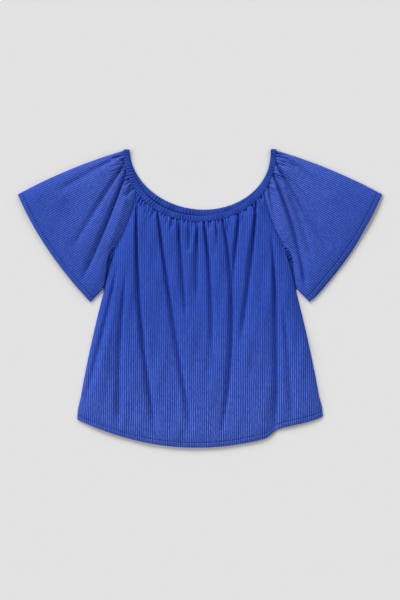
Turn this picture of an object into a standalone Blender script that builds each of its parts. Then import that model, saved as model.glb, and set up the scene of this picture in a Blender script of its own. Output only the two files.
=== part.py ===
"""An off-shoulder blouse laid flat on a table, front up.

It is cut from six pieces: a front, a back, two raglan sleeves folded along the top of the arm,
and a neckband casing that runs round the shoulders with elastic inside it. The casing is one ring.
X runs to the wearer's left, Y towards the neck and Z up from the table. The origin is on the
table, under the middle of the garment's box. Sizes and tables are in millimetres, and the meshes
are made in metres.

Each panel is a grid on a cut outline: u runs across the panel from 0 to 1, and v runs down it,
from 0 at the neckband to 1 at the hem.
"""
import math
from collections import namedtuple

import bmesh
import bpy
import numpy as np

MILLIMETRE = 0.001

# Cloth
WALL = 1.2
HEM_WALL = 1.5
HEM_STEP = 0.4
SEAM_GAP = 0.35

# Heights of the front layer's upper face above the table. The lofted cloth between the folds
# stays under 4 mm clear of the layer below it.
BASE_HEIGHT = 2.8
LOFT = 3.6
HEM_LOFT = 0.3
BAND_SEAM_HEIGHT = 4.6
SLEEVE_FOLD_HEIGHT = 4.6
UNDERARM_HEIGHT = 4.0
GATHER_HEIGHT = 1.0
GATHER_FADE = 26.0

# Neckband: an ellipse-like edge from one shoulder fold to the other, and its casing
Neck = namedtuple("Neck", "half drop lean power")
FRONT_NECK = Neck(half=161.0, drop=148.6, lean=0.0, power=2.12)
BACK_NECK = Neck(half=161.0, drop=134.9, lean=8.5, power=2.0)
SHOULDER_Y = 337.9
BAND_WIDTH = 13.8
BAND_THICKNESS = 2.2
BAND_MIDDLE = 2.6
BAND_HOLLOW = 0.4
BAND_DOME = 0.4
RIB_HEIGHT = 0.35
FRONT_RIB_STEPS = 136
BACK_RIB_STEPS = 96
SHOULDER_FOLD_STEPS = 6

# Body panels
RAGLAN_TURN = 0.19
RAGLAN_BOW = 5.5
UNDERARM_X, UNDERARM_Y = 190.0, 121.0
SIDE_SLOPE, SIDE_CURVE = 0.3009, 0.0001808
HEM_CORNER_X, HEM_CORNER_Y = 280.0, -271.0
HEM_MIDDLE_Y, HEM_RISE, HEM_MIDDLE_X = -340.5, 68.0, -8.0
HEM_WAVE, HEM_WAVE_FROM, HEM_WAVE_TOP, HEM_WAVE_TO = 12.5, 148.0, 178.0, 280.0
BODY_RAGLAN_END = 0.25
BODY_LENGTH = 525.0

# Sleeves, as sizes for the sleeve on the +X side
SLEEVE_CORNER = (416.0, 238.0)
SLEEVE_TIP = (250.0, -8.0)
SLEEVE_TOP_BEND = (300.0, 301.0)
SLEEVE_HEM_BEND = (365.0, 115.0)
UNDERARM_BENDS = ((219.0, 92.0), (204.0, 24.0))
SLEEVE_RAGLAN_END = 0.49
SLEEVE_LENGTH = 300.0
FOLD_REACH = 2.4
FOLD_STEPS = 4

# Grid rows: shares of the raglan seam, then rows below it
RAGLAN_ROWS = (0.0, 0.2, 0.36, 0.56, 0.8, 0.97, 1.0)
FRONT_ROWS = (0.33, 0.42, 0.52, 0.62, 0.72, 0.82, 0.92, 0.972, 0.979, 1.0)
BACK_ROWS = (0.42, 0.62, 0.82, 0.972, 0.979, 1.0)
SLEEVE_ROWS = (0.58, 0.68, 0.79, 0.89, 0.955, 0.963, 1.0)
HEM_ROWS = 2
FRONT_COLUMNS = 84
BACK_COLUMNS = 26
SLEEVE_COLUMNS = 26
SLEEVE_BACK_COLUMNS = 8

# Height of the front panel's edge down its raglan and side seams
EdgeHeight = namedtuple("EdgeHeight", "v height")
FRONT_EDGE = (
    EdgeHeight(0.0, BAND_SEAM_HEIGHT),
    EdgeHeight(0.25, UNDERARM_HEIGHT),
    EdgeHeight(0.33, BASE_HEIGHT),
    EdgeHeight(0.94, BASE_HEIGHT),
    EdgeHeight(0.975, 3.6),
    EdgeHeight(1.0, 3.6),
)

# Folds: a valley runs down a panel through three points, at v_start, half way and v_end.
# The half width is in millimetres, the depths are shares of the loft, and a ridge is below zero.
Fold = namedtuple("Fold", "v_start v_end u_start u_middle u_end half_width depth_start depth_end")
FRONT_FOLDS = (
    Fold(0.25, 1.00, 0.030, 0.043, 0.005, 8.0, 0.50, 0.60),
    Fold(0.42, 0.98, 0.080, 0.067, 0.016, 9.0, -0.30, -0.25),
    Fold(0.30, 1.00, 0.093, 0.134, 0.170, 11.0, 0.50, 0.60),
    Fold(0.00, 0.96, 0.005, 0.222, 0.332, 9.0, 0.95, 0.55),
    Fold(0.00, 0.92, 0.208, 0.376, 0.480, 8.0, 0.90, 0.40),
    Fold(0.00, 0.42, 0.355, 0.398, 0.436, 7.0, 0.60, 0.35),
    Fold(0.00, 0.16, 0.434, 0.436, 0.438, 6.0, 0.50, 0.30),
    Fold(0.00, 0.33, 0.489, 0.485, 0.489, 6.5, 0.65, 0.35),
    Fold(0.00, 0.60, 0.519, 0.556, 0.553, 7.5, 0.85, 0.40),
    Fold(0.00, 0.95, 0.640, 0.652, 0.575, 8.5, 0.95, 0.60),
    Fold(0.00, 0.32, 0.765, 0.710, 0.667, 8.0, 0.80, 0.70),
    Fold(0.00, 0.47, 0.915, 0.793, 0.705, 8.5, 0.85, 0.50),
    Fold(0.15, 1.00, 0.968, 0.860, 0.805, 11.0, 0.95, 0.85),
    Fold(0.45, 0.97, 0.917, 0.894, 0.879, 11.0, 0.45, 0.40),
)
RIGHT_SLEEVE_FOLDS = (
    Fold(0.00, 0.62, 0.080, 0.133, 0.170, 12.0, 0.50, 0.30),
    Fold(0.00, 0.75, 0.275, 0.548, 0.675, 9.0, 0.80, 0.30),
    Fold(0.00, 0.92, 0.510, 0.785, 0.880, 9.5, 0.95, 0.45),
    Fold(0.00, 0.90, 0.760, 0.910, 0.975, 8.0, -0.35, -0.20),
)
LEFT_SLEEVE_FOLDS = (
    Fold(0.00, 0.52, 0.070, 0.155, 0.280, 9.0, 0.60, 0.30),
    Fold(0.00, 0.86, 0.235, 0.560, 0.630, 9.0, 0.90, 0.30),
    Fold(0.08, 0.60, 0.365, 0.450, 0.530, 9.0, 0.40, 0.30),
    Fold(0.00, 0.90, 0.565, 0.815, 0.952, 9.5, 0.95, 0.50),
    Fold(0.15, 0.76, 0.560, 0.725, 0.855, 9.0, 0.35, 0.30),
    Fold(0.00, 0.34, 0.815, 0.902, 0.975, 7.0, 0.60, 0.40),
)

# Distances in millimetres over which an edge's height fades, and the loft rises, from an edge
EDGE_REACH = 9.0
SIDE_REACH, BAND_REACH, HEM_REACH = 13.0, 18.0, 28.0
FOLD_FADE = 0.06

# Finish of the blue cotton, from the photograph: linear colour and roughness
CLOTH_COLOUR = (0.045, 0.087, 0.43)
BAND_COLOUR = (0.040, 0.078, 0.39)
CLOTH_ROUGHNESS = 0.85


def mix(a, b, share):
    """Point or number a share of the way from a to b."""
    if isinstance(a, tuple):
        return tuple(mix(first, second, share) for first, second in zip(a, b))
    return a + (b - a) * share


def smooth(share):
    """Ease from 0 to 1."""
    share = min(1.0, max(0.0, share))
    return share * share * (3.0 - 2.0 * share)


def bend(points, share):
    """Bezier curve through its first and last points."""
    while len(points) > 1:
        points = [mix(a, b, share) for a, b in zip(points, points[1:])]
    return points[0]


def neck_point(neck, out, turn):
    """Neckband curve: turn 0 is the -X shoulder fold and 1 the +X one, out is the way outwards."""
    angle = math.pi * turn
    across, down = math.cos(angle), max(math.sin(angle), 0.0)
    power = 2.0 / neck.power
    x = -(neck.half + out) * math.copysign(abs(across) ** power, across) + neck.lean * down
    return x, SHOULDER_Y - (neck.drop + out) * down ** power


def panel_neck(neck, turn):
    """Edge of a panel along the neckband, a seam's gap below the casing."""
    return neck_point(neck, BAND_WIDTH + SEAM_GAP, turn)


def raglan(neck, side, share):
    """Raglan seam from the neckband to the underarm, bowed towards the body."""
    start = panel_neck(neck, RAGLAN_TURN if side < 0 else 1.0 - RAGLAN_TURN)
    x, y = mix(start, (side * UNDERARM_X, UNDERARM_Y), share)
    return x - side * RAGLAN_BOW * 4.0 * share * (1.0 - share), y


def hem_height(x):
    """Hem of the body: a shallow bow, lifted by one slack wave on the +X side."""
    rise = smooth((x - HEM_WAVE_FROM) / (HEM_WAVE_TOP - HEM_WAVE_FROM))
    fall = smooth((x - HEM_WAVE_TOP) / (HEM_WAVE_TO - HEM_WAVE_TOP))
    bow = HEM_MIDDLE_Y + HEM_RISE * ((x - HEM_MIDDLE_X) / HEM_CORNER_X) ** 2
    return bow + HEM_WAVE * rise * (1.0 - fall)


def body_side(neck, side, v):
    """Side of a body panel: the raglan seam, then the flared side seam."""
    if v <= BODY_RAGLAN_END:
        return raglan(neck, side, v / BODY_RAGLAN_END)
    share = (v - BODY_RAGLAN_END) / (1.0 - BODY_RAGLAN_END)
    y = mix(UNDERARM_Y, hem_height(side * HEM_CORNER_X), share)
    down = UNDERARM_Y - y
    reach = UNDERARM_X + SIDE_SLOPE * down - SIDE_CURVE * down * down
    return side * mix(reach, HEM_CORNER_X, smooth(8.0 * share - 7.0)), y


def patch(top, bottom, start, end, u, v):
    """Coons patch: a point inside four edges."""
    ruled_down = mix(top(u), bottom(u), v)
    ruled_across = mix(start(v), end(v), u)
    corners = mix(mix(top(0.0), top(1.0), u), mix(bottom(0.0), bottom(1.0), u), v)
    return tuple(a + b - c for a, b, c in zip(ruled_down, ruled_across, corners))


def body_point(neck, u, v):
    """Place of a body panel's point on the table."""
    def top(u):
        return panel_neck(neck, mix(RAGLAN_TURN, 1.0 - RAGLAN_TURN, u))

    def bottom(u):
        x = HEM_CORNER_X * (2.0 * u - 1.0)
        return x, hem_height(x)

    return patch(top, bottom, lambda v: body_side(neck, -1, v), lambda v: body_side(neck, 1, v), u, v)


def sleeve_point(neck, side, u, v):
    """Place of a sleeve's point: u runs from the fold along the arm's top to the underarm."""
    def mirrored(points):
        return [(side * x, y) for x, y in points]

    def top(u):
        return panel_neck(neck, RAGLAN_TURN * u if side < 0 else 1.0 - RAGLAN_TURN * u)

    def bottom(u):
        return bend(mirrored((SLEEVE_CORNER, SLEEVE_HEM_BEND, SLEEVE_TIP)), u)

    def fold(v):
        return bend([top(0.0)] + mirrored((SLEEVE_TOP_BEND, SLEEVE_CORNER)), v)

    def under(v):
        if v <= SLEEVE_RAGLAN_END:
            return raglan(neck, side, v / SLEEVE_RAGLAN_END)
        share = (v - SLEEVE_RAGLAN_END) / (1.0 - SLEEVE_RAGLAN_END)
        return bend(mirrored(((UNDERARM_X, UNDERARM_Y),) + UNDERARM_BENDS + (SLEEVE_TIP,)), share)

    return patch(top, bottom, fold, under, u, v)


def fold_share(folds, u, v, width):
    """How far the folds press a point down, as a share of the loft."""
    valley, ridge = 0.0, 0.0
    for fold in folds:
        along = (v - fold.v_start) / (fold.v_end - fold.v_start)
        at_start = (1.0 - along) * (1.0 - 2.0 * along)
        at_middle = 4.0 * along * (1.0 - along)
        at_end = along * (2.0 * along - 1.0)
        centre = fold.u_start * at_start + fold.u_middle * at_middle + fold.u_end * at_end
        head = 1.0 if fold.v_start == 0.0 else smooth((v - fold.v_start) / FOLD_FADE)
        tail = 1.0 if fold.v_end == 1.0 else smooth((fold.v_end - v) / FOLD_FADE)
        depth = mix(fold.depth_start, fold.depth_end, along) * head * tail
        depth *= math.exp(-((u - centre) * width / fold.half_width) ** 2)
        valley = max(valley, depth)
        ridge = min(ridge, depth)
    return valley + ridge


def cloth_height(folds, column, place, size, edge, hem_start):
    """Height of the front layer's upper face: its edges, loft, folds, gathers and hem."""
    u, v, side_distance = place
    width, length = size
    from_band, from_hem = v * length, (1.0 - v) * length
    loft = 1.0 - math.exp(-side_distance / SIDE_REACH)
    loft *= 1.0 - math.exp(-from_band / BAND_REACH)
    loft *= 1.0 - (1.0 - HEM_LOFT) * math.exp(-from_hem / HEM_REACH)
    height = mix(BASE_HEIGHT, edge, math.exp(-side_distance / EDGE_REACH))
    height = mix(height, BAND_SEAM_HEIGHT, math.exp(-from_band / EDGE_REACH))
    height += LOFT * loft * (1.0 - fold_share(folds, u, v, width))
    height += GATHER_HEIGHT * (column % 2) * math.exp(-from_band / GATHER_FADE)
    return height + (HEM_STEP if v >= hem_start else 0.0)


def grid_rows(raglan_end, rows_below):
    """Rows of a panel: down the raglan seam, where its neighbour's rows meet them, to the hem."""
    return [raglan_end * share for share in RAGLAN_ROWS] + list(rows_below)


def front_points():
    """Upper face of the front, row by row."""
    edge_v = [row.v for row in FRONT_EDGE]
    edge_height = [row.height for row in FRONT_EDGE]
    rows = []
    for v in grid_rows(BODY_RAGLAN_END, FRONT_ROWS):
        width = math.dist(body_point(FRONT_NECK, 0.0, v), body_point(FRONT_NECK, 1.0, v))
        edge = float(np.interp(v, edge_v, edge_height))
        row = []
        for column in range(FRONT_COLUMNS + 1):
            u = column / FRONT_COLUMNS
            side = min(u, 1.0 - u) * width
            place, size = (u, v, side), (width, BODY_LENGTH)
            height = cloth_height(FRONT_FOLDS, column, place, size, edge, FRONT_ROWS[-HEM_ROWS])
            row.append((*body_point(FRONT_NECK, u, v), height))
        rows.append(row)
    return rows


def back_points():
    """Under face of the back, flat on the table, row by row from the +X side."""
    rows = []
    for v in grid_rows(BODY_RAGLAN_END, BACK_ROWS):
        shares = [1.0 - column / BACK_COLUMNS for column in range(BACK_COLUMNS + 1)]
        rows.append([(*body_point(BACK_NECK, u, v), 0.0) for u in shares])
    return rows


def sleeve_points(side, folds):
    """Outer face of a sleeve: round its cloth from the front raglan to the back one.

    A row runs over the front layer, round the fold at the top and back along the table. Below
    the underarm it closes into a tube, round the underarm seam.
    """
    rows = []
    for v in grid_rows(SLEEVE_RAGLAN_END, SLEEVE_ROWS):
        closed = v >= SLEEVE_RAGLAN_END
        width = math.dist(sleeve_point(FRONT_NECK, side, 0.0, v), sleeve_point(FRONT_NECK, side, 1.0, v))
        fold = FOLD_REACH / width
        last = 1.0 - (SEAM_GAP * 1.4 + (FOLD_REACH if closed else 0.0)) / width
        raglan_height = mix(BAND_SEAM_HEIGHT, UNDERARM_HEIGHT, min(1.0, v / SLEEVE_RAGLAN_END))
        row = []
        for column in range(SLEEVE_COLUMNS, -1, -1):
            u = mix(fold, last, column / SLEEVE_COLUMNS)
            place, size = (u, v, min(u - fold, last - u) * width), (width, SLEEVE_LENGTH)
            edge = mix(SLEEVE_FOLD_HEIGHT, raglan_height, u)
            height = cloth_height(folds, column, place, size, edge, SLEEVE_ROWS[-HEM_ROWS])
            row.append((*sleeve_point(FRONT_NECK, side, u, v), height))
        row += turned_edge(side, v, fold, -fold, row[-1][2])
        for column in range(SLEEVE_BACK_COLUMNS + 1):
            u = mix(fold, last, column / SLEEVE_BACK_COLUMNS)
            row.append((*sleeve_point(BACK_NECK, side, u, v), 0.0))
        if closed:
            row += turned_edge(side, v, last, fold, row[0][2])[::-1]
        rows.append(row)
    return rows


def turned_edge(side, v, u, reach, height):
    """Points round a folded edge, from the top of the cloth down to the table."""
    points = []
    for step in range(1, FOLD_STEPS):
        angle = math.pi * step / FOLD_STEPS
        place = sleeve_point(FRONT_NECK, side, u + reach * math.sin(angle), v)
        points.append((*place, 0.5 * height * (1.0 + math.cos(angle))))
    return points


def band_stations():
    """Stations round the casing: neck curve, turn along it, angle through the fold and rib."""
    stations = []
    for step in range(FRONT_RIB_STEPS + 1):
        stations.append((FRONT_NECK, step / FRONT_RIB_STEPS, 0.0, 1.0 if step % 2 else -1.0))
    for step in range(1, SHOULDER_FOLD_STEPS):
        stations.append((FRONT_NECK, 1.0, math.pi * step / SHOULDER_FOLD_STEPS, 0.0))
    for step in range(BACK_RIB_STEPS, -1, -1):
        stations.append((BACK_NECK, step / BACK_RIB_STEPS, math.pi, 1.0 if step % 2 else -1.0))
    for step in range(SHOULDER_FOLD_STEPS - 1, 0, -1):
        stations.append((BACK_NECK, 0.0, math.pi * step / SHOULDER_FOLD_STEPS, 0.0))
    return stations


def band_section(neck, turn, angle, rib):
    """One section of the casing: three points on its outer face and three on its inner one."""
    front = 0.5 * (1.0 + math.cos(angle))
    outer = BAND_HOLLOW + BAND_THICKNESS
    outer_rib, inner_rib = RIB_HEIGHT * rib * front, RIB_HEIGHT * rib * (1.0 - front)
    section = (
        (0.0, outer - BAND_DOME * front + outer_rib),
        (0.5 * BAND_WIDTH, outer + BAND_DOME * front + outer_rib),
        (BAND_WIDTH, outer - BAND_DOME * front + outer_rib),
        (BAND_WIDTH, BAND_HOLLOW),
        (0.5 * BAND_WIDTH, BAND_HOLLOW + inner_rib),
        (0.0, BAND_HOLLOW),
    )
    points = []
    for out, reach in section:
        x, y = neck_point(neck, out, turn)
        points.append((x, y + reach * math.sin(angle), BAND_MIDDLE + reach * math.cos(angle)))
    return points


def add_material(name, colour):
    """Principled material of one piece."""
    material = bpy.data.materials.new(name)
    material.use_nodes = True
    shader = material.node_tree.nodes["Principled BSDF"]
    shader.inputs["Base Color"].default_value = (*colour, 1.0)
    shader.inputs["Roughness"].default_value = CLOTH_ROUGHNESS
    shader.inputs["Metallic"].default_value = 0.0
    return material


def add_object(name, mesh_cage, colour, collection):
    """Object of one piece, in its own material."""
    mesh = bpy.data.meshes.new(name)
    mesh_cage.to_mesh(mesh)
    mesh_cage.free()
    mesh.materials.append(add_material(name + "_cotton", colour))
    mesh.shade_smooth()
    piece = bpy.data.objects.new(name, mesh)
    collection.objects.link(piece)
    return piece


def add_sheet(name, rows, collection, closed_from=None, mirrored=False):
    """A panel: a grid of points given a wall inwards, thicker along its turned hem.

    From the row closed_from on, the rows are longer, and each closes into a ring. A mirrored
    panel's faces are turned round, so that they still point outwards.
    """
    cage = bmesh.new()
    grid = [[cage.verts.new([MILLIMETRE * value for value in point]) for point in row] for row in rows]
    for index, (upper, lower) in enumerate(zip(grid, grid[1:])):
        count = min(len(upper), len(lower))
        for column in range(count - 1):
            cage.faces.new((upper[column], lower[column], lower[column + 1], upper[column + 1]))
        if closed_from is not None and index >= closed_from:
            cage.faces.new((upper[-1], lower[-1], lower[0], upper[0]))
    if mirrored:
        bmesh.ops.reverse_faces(cage, faces=cage.faces[:])
    cage.verts.index_update()
    hem = [vert.index for row in grid[-HEM_ROWS:] for vert in row]
    piece = add_object(name, cage, CLOTH_COLOUR, collection)
    piece.vertex_groups.new(name="hem").add(hem, 1.0, "REPLACE")
    wall = piece.modifiers.new("Wall", "SOLIDIFY")
    wall.thickness = MILLIMETRE * HEM_WALL
    wall.offset = -1.0
    wall.use_even_offset = True
    wall.vertex_group = "hem"
    wall.thickness_vertex_group = WALL / HEM_WALL
    return piece


def add_band(name, collection):
    """The neckband: its sections lofted into one closed ring."""
    cage = bmesh.new()
    rings = [band_section(*station) for station in band_stations()]
    rings = [[cage.verts.new([MILLIMETRE * value for value in point]) for point in ring] for ring in rings]
    for ring, following in zip(rings, rings[1:] + rings[:1]):
        for index in range(len(ring)):
            after = (index + 1) % len(ring)
            cage.faces.new((ring[index], ring[after], following[after], following[index]))
    return add_object(name, cage, BAND_COLOUR, collection)


def main():
    """Clear the file and make the blouse."""
    for old in list(bpy.data.objects):
        bpy.data.objects.remove(old)
    blouse = bpy.data.collections.new("Blouse")
    bpy.context.scene.collection.children.link(blouse)
    underarm_row = len(RAGLAN_ROWS) - 1
    add_sheet("front_panel", front_points(), blouse)
    add_sheet("back_panel", back_points(), blouse)
    add_sheet("sleeve_right", sleeve_points(-1, RIGHT_SLEEVE_FOLDS), blouse, underarm_row, mirrored=True)
    add_sheet("sleeve_left", sleeve_points(1, LEFT_SLEEVE_FOLDS), blouse, underarm_row)
    add_band("neckband", blouse)


main()
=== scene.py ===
"""An off-shoulder blouse in striped cotton, laid flat with its front up, on a plain pale floor.

Each cut piece is a thin sheet on the form of its solid in the frame: a front, a back, two raglan
sleeves folded along the top of the arm, and an elastic neckband. Sizes below are in millimetres on
the table, with X to the wearer's left, Y towards the neckband and Z up. Meshes are in metres.
A panel's u runs across it and its v runs down it, from 0 at the neckband to 1 at the hem.
"""
import math
from collections import namedtuple

import bpy
import numpy as np
from bpy.props import FloatProperty, IntProperty, PointerProperty, StringProperty
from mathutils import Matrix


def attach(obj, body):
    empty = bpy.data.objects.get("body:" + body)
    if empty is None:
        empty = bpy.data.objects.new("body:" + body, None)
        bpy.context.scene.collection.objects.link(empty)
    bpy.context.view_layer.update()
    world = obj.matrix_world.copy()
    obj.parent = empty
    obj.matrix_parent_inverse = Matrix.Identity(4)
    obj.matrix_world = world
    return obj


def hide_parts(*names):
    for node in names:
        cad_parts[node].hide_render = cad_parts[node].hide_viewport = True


bl_info = {
    "name": "Off-shoulder blouse",
    "version": (1, 0, 0),
    "blender": (4, 5, 0),
    "location": "3D View > Sidebar > Blouse",
    "description": "A striped cotton blouse laid flat, made from its cut pieces",
    "category": "Add Mesh",
}

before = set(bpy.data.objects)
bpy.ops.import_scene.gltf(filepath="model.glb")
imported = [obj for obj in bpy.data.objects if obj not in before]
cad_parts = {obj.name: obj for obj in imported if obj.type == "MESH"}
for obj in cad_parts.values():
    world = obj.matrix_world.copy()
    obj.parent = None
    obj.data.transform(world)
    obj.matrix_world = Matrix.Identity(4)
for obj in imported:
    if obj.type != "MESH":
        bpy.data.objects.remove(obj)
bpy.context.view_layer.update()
MILLIMETRE = 0.001

# Neckband: an ellipse-like edge from one shoulder fold to the other
Neck = namedtuple("Neck", "half drop lean power")
FRONT_NECK = Neck(half=161.0, drop=148.6, lean=0.0, power=2.12)
BACK_NECK = Neck(half=161.0, drop=134.9, lean=8.5, power=2.0)
SHOULDER_Y = 337.9
BAND_WIDTH = 13.8
BAND_THICKNESS = 2.5
BAND_MIDDLE = 2.9
BAND_HOLLOW = 0.35
BAND_TUCK = 0.4
# The casing is cut longer than it lies, and its ribs come from that fullness
BAND_FULLNESS = 1.4
RIB_HEIGHT, RIB_PITCH, RIB_GROOVE, RIB_FLOOR = 1.9, 6.3, 1.55, 0.6

# Body outline
RAGLAN_TURN = 0.19
RAGLAN_BOW = 5.5
UNDERARM = (190.0, 121.0)
SIDE_SLOPE, SIDE_CURVE = 0.3009, 0.0001808
HEM_CORNER_X = 280.0
HEM_MIDDLE_Y, HEM_RISE, HEM_MIDDLE_X = -340.5, 68.0, -8.0
HEM_WAVE, HEM_WAVE_FROM, HEM_WAVE_TOP, HEM_WAVE_TO = 12.5, 148.0, 178.0, 280.0
BODY_RAGLAN_END = 0.25

# Sleeve outline, for the sleeve on the +X side
SLEEVE_CORNER = (416.0, 238.0)
SLEEVE_TIP = (250.0, -8.0)
SLEEVE_TOP_BEND = (300.0, 301.0)
SLEEVE_HEM_BEND = (365.0, 115.0)
UNDERARM_SEAM = (
    (190.0, 121.0), (200.0, 113.0), (208.0, 98.0), (212.5, 81.0), (214.3, 62.0),
    (217.0, 41.0), (221.0, 24.5), (228.5, 14.0), (238.5, 4.0), (250.0, -8.0))
SLEEVE_RAGLAN_END = 0.49
# A sleeve's stripes: where they would meet, the radius at which they have their real pitch, and how far
# the cut is shifted along them
STRIPE_CENTRE, STRIPE_RADIUS, STRIPE_SHIFT = (679.0, 723.0), 1215.0, 75.0

# Heights above the table
BASE_HEIGHT = 1.8
BAND_SEAM_HEIGHT = 4.0
UNDERARM_HEIGHT = 5.0
SIDE_SEAM_HEIGHT = 0.95
SLOT_WALL_HEIGHT = 8.0
HEM_EDGE_HEIGHT = 2.2
SLEEVE_FOLD_HEIGHT = 4.4
UNDERARM_SEAM_HEIGHTS = (8.0, 9.0, 4.6)
SLEEVE_EDGE_REACH = 3.6
ARMPIT_FRONT, ARMPIT_BACK, ARMPIT_REACH = 3.6, 2.6, 7.0
SIDE_REACH, BAND_REACH, HEM_REACH = 10.0, 7.0, 24.0
EDGE_REACH = 4.0
# Shares of the loft that the neckband and the hem press out
BAND_PRESS, HEM_PRESS = 0.8, 0.72
# Slow unevenness of the loft as a share of it, and the height of the fine creases
BILLOW, CRUMPLE = 0.08, 0.12
HEM_DEPTH, HEM_STEP, HEM_PUCKER = 11.0, 0.7, 0.22
# Distances of the mesh's last rows from the hem
HEM_ROWS = (15.0, 13.6, 12.6, 11.9, 11.2, 10.5, 9.8, 9.0, 7.8, 6.0, 4.0, 2.0, 0.0)
STITCH_DENT = 1.7
BACK_DENT, BACK_HOLLOW = 0.55, 0.5
LEAST_HEIGHT = 1.15
RAGLAN_DENT, RAGLAN_DENT_PITCH = 1.7, 5.2
BACK_HEM_SLIP, BACK_HEM_WAY = 2.6, (0.80, -0.60)
# Side edge of a body panel: share of the way down it, and height there
BODY_EDGE = (
    (0.0, BAND_SEAM_HEIGHT), (0.9 * BODY_RAGLAN_END, UNDERARM_HEIGHT), (BODY_RAGLAN_END, UNDERARM_HEIGHT),
    (0.30, SLOT_WALL_HEIGHT), (0.38, SLOT_WALL_HEIGHT), (0.46, SIDE_SEAM_HEIGHT),
    (0.95, SIDE_SEAM_HEIGHT), (1.0, HEM_EDGE_HEIGHT))
# How far the back panel's sides spread under the sleeves, and down to which height
SLOT_SPREAD, SLOT_END = 1.5, 18.0

# Folds: each runs through its start, its middle and its end. The half width is in millimetres, the
# depths are shares of the loft at its start, a fifth of the way down and at its end, and a ridge is
# below zero.
Fold = namedtuple("Fold", "x0 y0 x1 y1 x2 y2 half_width start top end")
FRONT_FOLDS = (
    Fold(-187, 83, -223, -85, -270, -262, 7.5, 0.05, 0.65, 0.60),
    Fold(-189, 1, -220, -123, -263, -243, 9.0, -0.02, -0.16, -0.12),
    Fold(-169, 54, -183, -118, -185, -315, 7.5, 0.05, 0.65, 0.80),
    Fold(-144, 219, -136, -44, -96, -335, 6.2, 0.97, 0.97, 0.95),
    Fold(-97, 197, -62, -47, -14, -335, 6.2, 0.96, 0.94, 0.70),
    Fold(-50, 182, -43, 78, -30, -56, 5.0, 0.75, 0.85, 0.50),
    Fold(-25, 178, -25, 149, -25, 102, 4.0, 0.70, 0.80, 0.45),
    Fold(-5, 178, -8, 97, -6, -11, 5.0, 0.94, 0.92, 0.50),
    Fold(8, 178, 23, 38, 27, -139, 6.0, 0.96, 0.95, 0.55),
    Fold(51, 182, 72, -61, 45, -335, 6.2, 0.98, 0.96, 0.80),
    Fold(89, 193, 81, 112, 73, 1, 5.2, 0.93, 0.93, 0.75),
    Fold(128, 216, 116, 89, 92, -110, 6.0, 0.98, 0.96, 0.75),
    Fold(163, 155, 173, -81, 171, -345, 7.0, 0.05, 0.97, 0.95),
    Fold(190, -26, 203, -150, 212, -300, 9.0, 0.05, 0.50, 0.45),
)
RIGHT_SLEEVE_FOLDS = (
    Fold(-178, 327, -248, 289, -332, 238, 8.0, 0.50, 0.55, 0.30),
    Fold(-171, 312, -233, 210, -300, 98, 7.5, 0.90, 0.62, 0.25),
    Fold(-168, 292, -215, 168, -274, 28, 5.6, 0.98, 0.98, 0.65),
    Fold(-160, 259, -198, 142, -235, 24, 9.0, -0.05, -0.25, -0.15),
    Fold(-158, 259, -161, 248, -167, 225, 4.5, 0.70, 0.70, 0.40),
)
LEFT_SLEEVE_FOLDS = (
    Fold(183, 326, 235, 289, 290, 230, 8.0, 0.70, 0.70, 0.30),
    Fold(172, 314, 229, 213, 305, 98, 6.5, 0.95, 0.94, 0.40),
    Fold(190, 285, 231, 237, 282, 166, 7.0, 0.30, 0.55, 0.25),
    Fold(167, 283, 217, 141, 242, 10, 5.4, 0.98, 0.98, 0.85),
    Fold(196, 248, 231, 172, 258, 80, 6.5, 0.15, 0.65, 0.40),
    Fold(156, 259, 165, 210, 178, 150, 5.5, 0.75, 0.75, 0.50),
)
# Gathers: their lengths, how often each comes, the ranges of their half widths and depths, and their lean
GATHER_LENGTHS, GATHER_ODDS = (14.0, 24.0, 38.0, 60.0), (0.3, 0.3, 0.25, 0.15)
GATHER_HALF_WIDTHS, GATHER_DEPTHS = (1.4, 2.8), (0.25, 1.0)
BODY_LEAN, SLEEVE_LEAN = (0.0, -1.2), (0.3, -0.25)

# Where a fold reaches its full depth, its half width at its start, how far slack spreads beside it,
# the share of it that is a trough and not slack, and the share of its length over which it fades out
FOLD_TOP = 0.2
FOLD_POINT = 3.1
FOLD_SPREAD = 1.8
FOLD_SHARE = 0.75
FOLD_SAMPLES = 40
FOLD_TAIL = 0.16

# Hem stitches: a thread of the cloth's blue, darkened as painted shade of the stitch line's dent, seen as
# short raised dashes
STITCH_PITCH, STITCH_LENGTH, STITCH_MARGIN, THREAD_RADIUS = 2.8, 2.0, 1.5, 0.2
STITCH_SINK, STITCH_RISE = -0.12, 0.1

# Seam allowance that shows in the slot below each underarm point, on the +X side
ALLOWANCE_LINE = ((189.5, 122.5), (197.0, 112.0), (202.0, 100.0), (206.0, 87.0))
ALLOWANCE_HALF_WIDTH, ALLOWANCE_HEIGHT, ALLOWANCE_RUFFLE, ALLOWANCE_WAVE = 6.4, 4.0, 1.5, 6.2
ALLOWANCE_LENGTH, ALLOWANCE_FALL, ALLOWANCE_FLUTTER = 38.0, 1.6, 0.5
ALLOWANCE_GRID = (70, 12)

# Soft boxes stand round the table: name, degrees from +Y towards -X, and share of the light
LIGHTS = (
    ("key_light", 28.0, 0.43),
    ("left_light", 92.0, 0.27),
    ("fill_light", -42.0, 0.16),
    ("right_light", -115.0, 0.06),
    ("near_light", 180.0, 0.08),
)
LIGHT_ELEVATION, LIGHT_WIDTH = 28.0, 30.0

# Grid sizes
FRONT_GRID = (310, 150)
BACK_GRID = (220, 110)
SLEEVE_GRID = (120, 150)
SLEEVE_BACK_COLUMNS = 80
BAND_STEPS = 680
BAND_FOLD_STEPS = 12
BAND_SECTION = 20
BODY_LENGTH, SLEEVE_LENGTH = 520.0, 300.0

# Radians that the weave's wave turns through in a metre of cloth
WEAVE_TURNS = 9000.0

# Each sleeve's node, its side of the body and the seed of its gathers
SLEEVES = (("sleeve_right", -1, 31), ("sleeve_left", 1, 41))


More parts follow.
